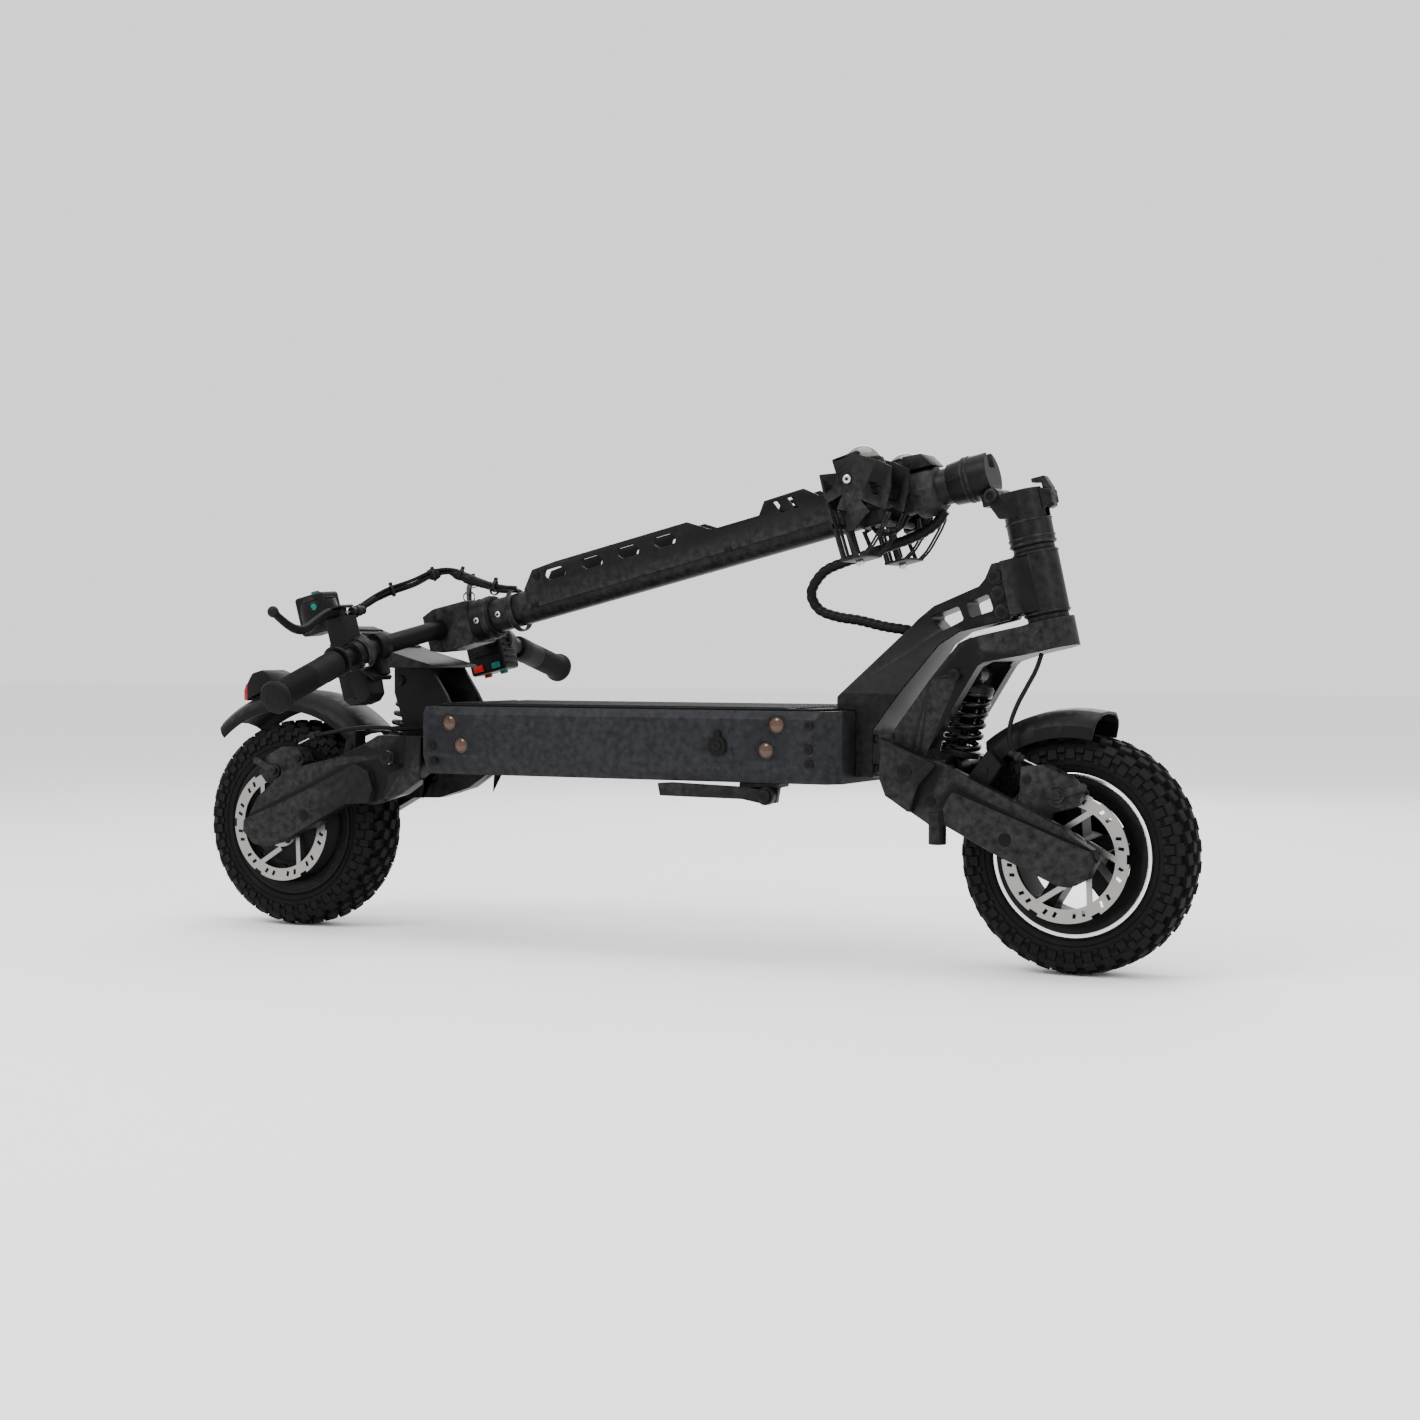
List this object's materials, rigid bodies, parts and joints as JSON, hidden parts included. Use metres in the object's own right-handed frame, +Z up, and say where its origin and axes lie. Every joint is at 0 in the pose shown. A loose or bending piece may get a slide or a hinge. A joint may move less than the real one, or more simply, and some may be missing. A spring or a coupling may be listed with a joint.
{
  "type": "electric kick scooter",
  "caption": "Folding off-road electric kick scooter in its folded position, with swingarm suspension, disc brakes, deck, sprung folding latch, headlamps and handlebar controls.",
  "frame": {"origin": "on the ground, midway between the two axles and between the sides", "axes": "+X towards the front wheel, +Y to the rider's left, +Z up"},
  "size_m": [1.2668, 0.6436, 0.5648],
  "materials": {
    "frame_paint": "satin black powder coat",
    "black_steel": "blackened steel",
    "bright_steel": "ground steel",
    "black_plastic": "matte moulded",
    "grip_rubber": "soft rubber",
    "tyre_rubber": "matte rubber",
    "amber_lens": "clear moulded",
    "red_plastic": "gloss",
    "green_plastic": "gloss"
  },
  "bodies": {
    "frame": {"deck_shell": "frame_paint", "deck_end_caps": "frame_paint", "deck_mat": "grip_rubber", "battery_and_controllers": "black_plastic", "marker_lenses": "amber_lens", "frame_bolts": "black_steel", "neck_frame": "frame_paint", "head_tube": "frame_paint", "headset_bearings": "bright_steel", "footrest": "frame_paint", "kickstand_bracket": "black_steel", "harness_lower": "black_plastic", "rear_brake_cable": "black_plastic"},
    "charge_cap": {"charge_port_cap": "black_plastic"},
    "kickstand": {"kickstand_leg": "black_steel"},
    "steering": {"fork": "frame_paint", "fold_base": "frame_paint", "fold_pin": "bright_steel", "front_brake_cable": "black_plastic"},
    "latch": {"fold_latch": "black_steel"},
    "stem": {"fold_head": "frame_paint", "stem_tube": "frame_paint", "stem_side_plates": "frame_paint", "bar_clamp": "frame_paint", "handlebar": "black_steel", "grips": "grip_rubber", "switch_pods": "black_plastic", "display_unit": "black_plastic", "harness_upper": "black_plastic", "bar_cables": "black_plastic"},
    "left_lever": {"left_brake_lever": "black_steel"},
    "right_lever": {"right_brake_lever": "black_steel"},
    "throttle": {"throttle_trigger": "black_plastic"},
    "red_key": {"red_button": "red_plastic"},
    "green_key": {"green_button": "green_plastic"},
    "power_key": {"power_button": "green_plastic"},
    "lamps": {"headlamps": "black_steel"},
    "front_arm": {"front_swingarm": "frame_paint", "front_axle_and_pivot": "bright_steel", "front_mudguard": "black_plastic", "front_caliper": "black_steel"},
    "front_cam": {"front_caliper_arm": "black_steel"},
    "front_shock_upper": {"front_shock_body": "black_steel", "front_shock_spring": "black_steel"},
    "front_shock_lower": {"front_shock_rod": "bright_steel"},
    "front_wheel": {"front_rim": "black_steel", "front_tyre": "tyre_rubber", "front_disc": "bright_steel"},
    "rear_arm": {"rear_swingarm": "frame_paint", "rear_axle_and_pivot": "bright_steel", "rear_mudguard": "black_plastic", "tail_light": "red_plastic", "rear_caliper": "black_steel"},
    "rear_cam": {"rear_caliper_arm": "black_steel"},
    "rear_shock_upper": {"rear_shock_body": "black_steel", "rear_shock_spring": "black_steel"},
    "rear_shock_lower": {"rear_shock_rod": "bright_steel"},
    "rear_wheel": {"rear_hub_motor": "black_steel", "rear_tyre": "tyre_rubber", "rear_disc": "bright_steel"}
  },
  "joints": [
    {"name": "steer", "type": "hinge", "parent": "frame", "child": "steering", "pos_m": [0.46, 0, 0.42], "axis": [-0.2164, 0, 0.9763], "range_deg": [-3, 3]},
    {"name": "fold", "type": "hinge", "parent": "steering", "child": "stem", "pos_m": [0.41286, 0, 0.50788], "axis": [0, 1, 0], "range_deg": [0, 91]},
    {"name": "latch_turn", "type": "hinge", "parent": "steering", "child": "latch", "pos_m": [0.47062, 0, 0.50839], "axis": [0, 1, 0], "range_deg": [0, 25], "stiffness_Nm_per_rad": 0.3, "springref_deg": -5.73},
    {"name": "left_lever_pull", "type": "hinge", "parent": "stem", "child": "left_lever", "pos_m": [-0.33959, 0.1562, 0.39936], "axis": [-0.2332, -0.0454, 0.9714], "range_deg": [-18, 0], "stiffness_Nm_per_rad": 2, "springref_deg": 5.73},
    {"name": "right_lever_pull", "type": "hinge", "parent": "stem", "child": "right_lever", "pos_m": [-0.33625, -0.15947, 0.38542], "axis": [-0.2332, -0.0454, 0.9714], "range_deg": [0, 18], "stiffness_Nm_per_rad": 2, "springref_deg": -5.73},
    {"name": "throttle_turn", "type": "hinge", "parent": "stem", "child": "throttle", "pos_m": [-0.31751, -0.31023, 0.29022], "axis": [0.0114, 0.9473, 0.3203], "range_deg": [-30, 0], "stiffness_Nm_per_rad": 0.3, "springref_deg": 2.86},
    {"name": "red_press", "type": "slide", "parent": "stem", "child": "red_key", "axis": [-0.2332, -0.0454, 0.9714], "range_m": [0, 0.0015], "stiffness_N_per_m": 1200, "springref_m": -0.0006},
    {"name": "green_press", "type": "slide", "parent": "stem", "child": "green_key", "axis": [-0.2332, -0.0454, 0.9714], "range_m": [0, 0.0015], "stiffness_N_per_m": 1200, "springref_m": -0.0006},
    {"name": "power_press", "type": "slide", "parent": "stem", "child": "power_key", "axis": [0.2332, 0.0454, -0.9714], "range_m": [0, 0.0015], "stiffness_N_per_m": 1200, "springref_m": -0.0006},
    {"name": "lamps_tilt", "type": "hinge", "parent": "stem", "child": "lamps", "pos_m": [0.29469, 0, 0.48177], "axis": [0, 1, 0], "range_deg": [-12, 12]},
    {"name": "kickstand_swing", "type": "hinge", "parent": "frame", "child": "kickstand", "pos_m": [0.178, 0, 0.184], "axis": [0, -1, 0], "range_deg": [0, 100]},
    {"name": "charge_cap_swing", "type": "hinge", "parent": "frame", "child": "charge_cap", "pos_m": [0.123, -0.098, 0.252], "axis": [0, 1, 0], "range_deg": [-80, 80]},
    {"name": "front_suspension", "type": "hinge", "parent": "steering", "child": "front_arm", "pos_m": [0.3392, 0, 0.2138], "axis": [0, -1, 0], "range_deg": [0, 8], "stiffness_Nm_per_rad": 500, "springref_deg": -5.73, "deforming": ["front_brake_cable"]},
    {"name": "front_shock_swing", "type": "hinge", "parent": "steering", "child": "front_shock_upper", "pos_m": [0.388, 0, 0.3175], "axis": [0, 1, 0], "range_deg": [0, 0.993]},
    {"name": "front_shock_stroke", "type": "slide", "parent": "front_shock_upper", "child": "front_shock_lower", "axis": [0.2159, 0, 0.9764], "range_m": [0, 0.00351], "deforming": ["front_shock_spring"]},
    {"name": "front_wheel_spin", "type": "hinge", "parent": "front_arm", "child": "front_wheel", "pos_m": [0.5059, 0, 0.1275], "axis": [0, 1, 0], "continuous": true},
    {"name": "front_cam_turn", "type": "hinge", "parent": "front_arm", "child": "front_cam", "pos_m": [0.502, 0, 0.192], "axis": [0, 1, 0], "range_deg": [-18, 0]},
    {"name": "rear_suspension", "type": "hinge", "parent": "frame", "child": "rear_arm", "pos_m": [-0.3256, 0, 0.2147], "axis": [0, 1, 0], "range_deg": [0, 8], "stiffness_Nm_per_rad": 500, "springref_deg": -5.73, "deforming": ["rear_brake_cable"]},
    {"name": "rear_shock_swing", "type": "hinge", "parent": "frame", "child": "rear_shock_upper", "pos_m": [-0.337, 0, 0.306], "axis": [0, -1, 0], "range_deg": [0, 0.253]},
    {"name": "rear_shock_stroke", "type": "slide", "parent": "rear_shock_upper", "child": "rear_shock_lower", "axis": [0.2316, 0, 0.9728], "range_m": [0, 0.00459], "deforming": ["rear_shock_spring"]},
    {"name": "rear_wheel_spin", "type": "hinge", "parent": "rear_arm", "child": "rear_wheel", "pos_m": [-0.5059, 0, 0.1275], "axis": [0, 1, 0], "continuous": true},
    {"name": "rear_cam_turn", "type": "hinge", "parent": "rear_arm", "child": "rear_cam", "pos_m": [-0.504, 0, 0.194], "axis": [0, 1, 0], "range_deg": [0, 18]}
  ],
  "couplings": [
    {"joint": "front_shock_swing", "follows": "front_suspension", "ratio": 0.11793},
    {"joint": "front_shock_stroke", "follows": "front_suspension", "m_per_rad": 0.024394},
    {"joint": "rear_shock_swing", "follows": "rear_suspension", "ratio": 0.02536},
    {"joint": "rear_shock_stroke", "follows": "rear_suspension", "m_per_rad": 0.032141},
    {"joint": "front_cam_turn", "follows": "left_lever_pull", "ratio": 1},
    {"joint": "rear_cam_turn", "follows": "right_lever_pull", "ratio": 1}
  ]
}
